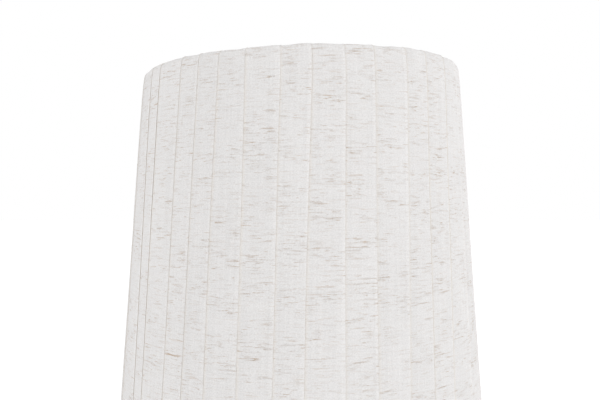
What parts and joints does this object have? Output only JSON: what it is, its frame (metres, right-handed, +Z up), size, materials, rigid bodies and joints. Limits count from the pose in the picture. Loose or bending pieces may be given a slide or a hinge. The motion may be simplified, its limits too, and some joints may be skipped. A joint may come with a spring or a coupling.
{
  "type": "column floor lamp",
  "caption": "Tall tapered floor lamp: lapped linen pleats over a wire frame, hung on a weighted stem that carries two screw-in lamps inside.",
  "frame": {"origin": "on the floor, under the middle of the foot", "axes": "+Z up along the stem, +Y to the side where the flex comes in, +X to the lower lamp"},
  "size_m": [0.4076, 0.4094, 1.2],
  "materials": {
    "base_paint": "satin powder coat",
    "black_rubber": "matte",
    "zinc_steel": "zinc plated",
    "stem_steel": "satin",
    "black_plastic": "matte",
    "white_plastic": "satin",
    "white_flex": "satin",
    "frame_paint": "satin powder coat",
    "lining_film": "matte translucent",
    "linen": "slubby linen weave",
    "brass": "plain",
    "solder": "plain",
    "opal_glass": "opal"
  },
  "bodies": {
    "stand": {"base_plate": "base_paint", "rubber_pads": "black_rubber", "base_screw": "zinc_steel", "stem_collar": "stem_steel", "flex_gland": "black_plastic", "collar_screw": "zinc_steel", "lower_stem": "stem_steel", "middle_stem": "stem_steel", "upper_stem": "stem_steel", "supply_flex": "white_flex", "wire_splice": "black_plastic", "lower_branch_wire": "white_flex", "upper_branch_wire": "white_flex", "shade_seat": "stem_steel", "lower_branch_block": "stem_steel", "lower_side_tube": "stem_steel", "lower_block_screws": "zinc_steel", "lower_holder_cap": "white_plastic", "lower_holder_skirt": "white_plastic", "lower_holder_insert": "white_plastic", "lower_screw_shell": "brass", "lower_centre_contact": "brass", "upper_branch_block": "stem_steel", "upper_side_tube": "stem_steel", "upper_block_screws": "zinc_steel", "upper_holder_cap": "white_plastic", "upper_holder_skirt": "white_plastic", "upper_holder_insert": "white_plastic", "upper_screw_shell": "brass", "upper_centre_contact": "brass"},
    "shade": {"spider_washer": "frame_paint", "spider_arms": "frame_paint", "carrier_ring": "frame_paint", "top_ring": "frame_paint", "upper_hoop": "frame_paint", "lower_hoop": "frame_paint", "bottom_ring": "frame_paint", "frame_struts": "frame_paint", "shade_lining": "lining_film", "pleated_cover": "linen"},
    "finial": {"finial": "stem_steel"},
    "lower_bulb": {"lower_bulb_tip": "solder", "lower_bulb_insulator": "black_plastic", "lower_bulb_cap": "solder", "lower_bulb_neck": "white_plastic", "lower_bulb_globe": "opal_glass"},
    "upper_bulb": {"upper_bulb_tip": "solder", "upper_bulb_insulator": "black_plastic", "upper_bulb_cap": "solder", "upper_bulb_neck": "white_plastic", "upper_bulb_globe": "opal_glass"}
  },
  "joints": [
    {"name": "shade_lift", "type": "slide", "parent": "stand", "child": "shade", "axis": [0, 0, 1], "range_m": [0, 1.2]},
    {"name": "finial_turn", "type": "hinge", "parent": "shade", "child": "finial", "pos_m": [0, 0, 1.175], "axis": [0, 0, 1], "continuous": true},
    {"name": "lower_bulb_turn", "type": "hinge", "parent": "stand", "child": "lower_bulb", "pos_m": [0.052, 0, 0.3223], "axis": [0, 0, 1], "continuous": true},
    {"name": "upper_bulb_turn", "type": "hinge", "parent": "stand", "child": "upper_bulb", "pos_m": [-0.052, 0, 0.8223], "axis": [0, 0, 1], "continuous": true}
  ]
}
